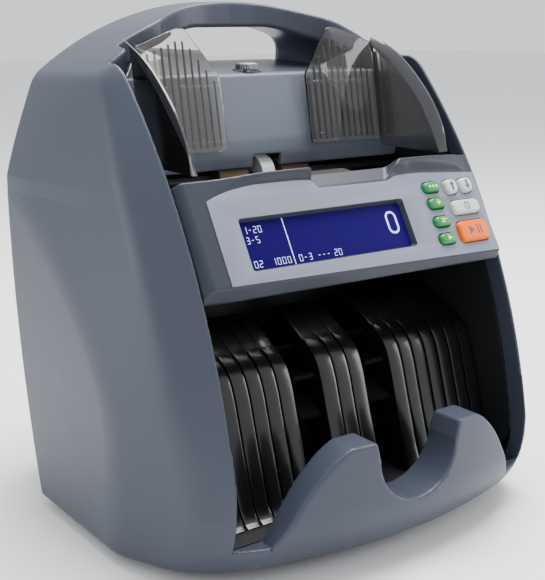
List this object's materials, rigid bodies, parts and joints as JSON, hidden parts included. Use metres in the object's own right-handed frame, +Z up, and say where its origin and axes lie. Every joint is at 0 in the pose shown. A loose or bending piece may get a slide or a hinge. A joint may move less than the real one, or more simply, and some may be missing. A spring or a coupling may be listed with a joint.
{
  "type": "banknote counting machine",
  "caption": "Desktop banknote counting machine with a top hopper, tilted control panel, stacker pocket with a notched lip and an arched carrying handle.",
  "frame": {"origin": "centre of the machine's outer box, at the level of the table it stands on", "axes": "+Z up, -Y towards the user (the front with the panel and the pocket), +X to the user's right"},
  "size_m": [0.264, 0.2502, 0.289],
  "materials": {
    "housing": "satin moulded plastic, blue-grey",
    "label": "silver-grey film",
    "black_gloss": "glossy black",
    "dark_plastic": "fine grain",
    "rubber": "matt",
    "tan_rubber": "matt",
    "white_plastic": "satin",
    "orange_plastic": "satin",
    "green_plastic": "satin",
    "display": "clear window over a blue display",
    "smoke_plastic": "polished, smoke grey",
    "steel": "brushed",
    "frame_metal": "dark paint",
    "board": "circuit board",
    "switch": "glossy"
  },
  "bodies": {
    "housing": {"side_cover_left": "housing", "side_cover_right": "housing", "inner_frame_left": "frame_metal", "inner_frame_right": "frame_metal", "guide_block_left": "black_gloss", "guide_block_right": "black_gloss", "guide_block_centre": "black_gloss", "carry_handle": "housing", "top_deck": "housing", "front_apron": "housing", "base_plate": "steel", "stacker_floor": "dark_plastic", "hopper_back_wall": "housing", "hopper_floor": "dark_plastic", "note_guide_plate": "dark_plastic", "foot_front_left": "rubber", "foot_front_right": "rubber", "foot_rear_left": "rubber", "foot_rear_right": "rubber", "panel_housing": "housing", "panel_label": "label", "display_window": "display", "display_module": "dark_plastic", "key_board": "board", "feed_motor": "steel", "stack_motor": "steel", "feed_belt": "rubber", "fan_belt": "rubber", "transformer": "frame_metal", "main_board": "board", "rear_panel": "housing", "hinge_rod": "steel", "power_inlet": "dark_plastic"},
    "feed": {"feed_shaft": "steel", "feed_pulley": "dark_plastic", "feed_drum_left": "rubber", "feed_drum_right": "rubber"},
    "feed_motor_rotor": {"feed_motor_pulley": "steel"},
    "fan": {"fan_shaft": "steel", "fan_pulley": "dark_plastic", "fan_wheel_left": "black_gloss", "fan_wheel_right": "black_gloss"},
    "stack_motor_rotor": {"stack_motor_pulley": "steel"},
    "counter": {"counter_shaft": "steel", "counter_roller": "white_plastic", "gap_roller_left": "tan_rubber", "gap_roller_right": "tan_rubber"},
    "thumbscrew": {"thumbscrew": "steel"},
    "note_guide_left": {"note_guide_left": "smoke_plastic"},
    "note_guide_right": {"note_guide_right": "smoke_plastic"},
    "rear_door": {"rear_door": "housing"},
    "power_rocker": {"switch_rocker": "switch"},
    "key_green_1": {"key_green_1": "green_plastic"},
    "key_green_2": {"key_green_2": "green_plastic"},
    "key_green_3": {"key_green_3": "green_plastic"},
    "key_green_4": {"key_green_4": "green_plastic"},
    "key_up": {"key_up": "white_plastic"},
    "key_down": {"key_down": "white_plastic"},
    "key_set": {"key_set": "white_plastic"},
    "key_start": {"key_start": "orange_plastic"}
  },
  "joints": [
    {"name": "feed_spin", "type": "hinge", "parent": "housing", "child": "feed", "pos_m": [0, -0.008, 0.166], "axis": [1, 0, 0], "continuous": true},
    {"name": "feed_motor_spin", "type": "hinge", "parent": "housing", "child": "feed_motor_rotor", "pos_m": [0, 0.044, 0.065], "axis": [1, 0, 0], "continuous": true},
    {"name": "fan_spin", "type": "hinge", "parent": "housing", "child": "fan", "pos_m": [0, -0.028, 0.069], "axis": [1, 0, 0], "continuous": true},
    {"name": "stack_motor_spin", "type": "hinge", "parent": "housing", "child": "stack_motor_rotor", "pos_m": [0, 0.036, 0.069], "axis": [1, 0, 0], "continuous": true},
    {"name": "counter_spin", "type": "hinge", "parent": "housing", "child": "counter", "pos_m": [0, 0.022, 0.189], "axis": [1, 0, 0], "continuous": true},
    {"name": "guide_screw_turn", "type": "hinge", "parent": "housing", "child": "thumbscrew", "pos_m": [0, 0.033, 0.2502], "axis": [0, 0, 1], "range_deg": [-180, 180]},
    {"name": "left_guide_slide", "type": "slide", "parent": "housing", "child": "note_guide_left", "axis": [1, 0, 0], "range_m": [0, 0.025]},
    {"name": "right_guide_slide", "type": "slide", "parent": "housing", "child": "note_guide_right", "axis": [-1, 0, 0], "range_m": [0, 0.025]},
    {"name": "rear_door_hinge", "type": "hinge", "parent": "housing", "child": "rear_door", "pos_m": [0, 0.113, 0.0695], "axis": [-1, 0, 0], "range_deg": [0, 70]},
    {"name": "power_rocker_tilt", "type": "hinge", "parent": "housing", "child": "power_rocker", "pos_m": [-0.025, 0.113, 0.034], "axis": [1, 0, 0], "range_deg": [-8, 8]},
    {"name": "key_green_1_press", "type": "slide", "parent": "housing", "child": "key_green_1", "axis": [0, 0.8593, -0.5114], "range_m": [0, 0.0012], "stiffness_N_per_m": 400},
    {"name": "key_green_2_press", "type": "slide", "parent": "housing", "child": "key_green_2", "axis": [0, 0.8593, -0.5114], "range_m": [0, 0.0012], "stiffness_N_per_m": 400},
    {"name": "key_green_3_press", "type": "slide", "parent": "housing", "child": "key_green_3", "axis": [0, 0.8593, -0.5114], "range_m": [0, 0.0012], "stiffness_N_per_m": 400},
    {"name": "key_green_4_press", "type": "slide", "parent": "housing", "child": "key_green_4", "axis": [0, 0.8593, -0.5114], "range_m": [0, 0.0012], "stiffness_N_per_m": 400},
    {"name": "key_up_press", "type": "slide", "parent": "housing", "child": "key_up", "axis": [0, 0.8593, -0.5114], "range_m": [0, 0.0012], "stiffness_N_per_m": 400},
    {"name": "key_down_press", "type": "slide", "parent": "housing", "child": "key_down", "axis": [0, 0.8593, -0.5114], "range_m": [0, 0.0012], "stiffness_N_per_m": 400},
    {"name": "key_set_press", "type": "slide", "parent": "housing", "child": "key_set", "axis": [0, 0.8593, -0.5114], "range_m": [0, 0.0012], "stiffness_N_per_m": 400},
    {"name": "key_start_press", "type": "slide", "parent": "housing", "child": "key_start", "axis": [0, 0.8593, -0.5114], "range_m": [0, 0.0012], "stiffness_N_per_m": 400}
  ],
  "couplings": [
    {"joint": "feed_motor_spin", "follows": "feed_spin", "ratio": 2},
    {"joint": "stack_motor_spin", "follows": "fan_spin", "ratio": 1.7143},
    {"joint": "right_guide_slide", "follows": "left_guide_slide", "ratio": 1}
  ]
}
